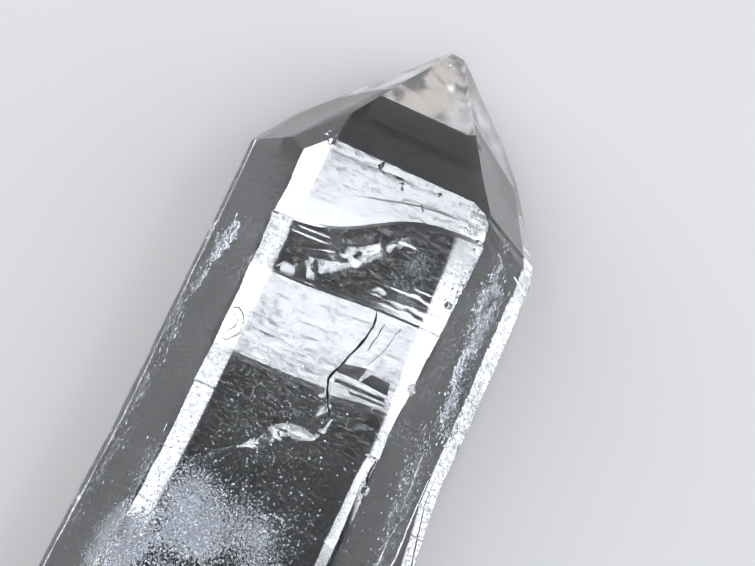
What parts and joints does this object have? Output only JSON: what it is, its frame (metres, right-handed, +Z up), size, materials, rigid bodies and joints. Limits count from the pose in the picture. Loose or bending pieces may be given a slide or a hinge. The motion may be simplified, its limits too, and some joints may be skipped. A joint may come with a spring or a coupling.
{
  "type": "lemurian seed quartz crystal",
  "caption": "Clear quartz crystal, a six-sided prism with a pointed end, stepped growth ledges across its faces and a broken root, lying on one prism face.",
  "frame": {"origin": "under the middle of the crystal as it lies, on the surface it rests on", "axes": "+Y along the crystal's long axis towards the point, +Z up out of the broad stepped face, +X across it"},
  "size_m": [0.043, 0.1168, 0.0308],
  "materials": {
    "clear_quartz": "gloss"
  },
  "bodies": {
    "root": {"quartz_crystal": "clear_quartz"}
  },
  "joints": []
}
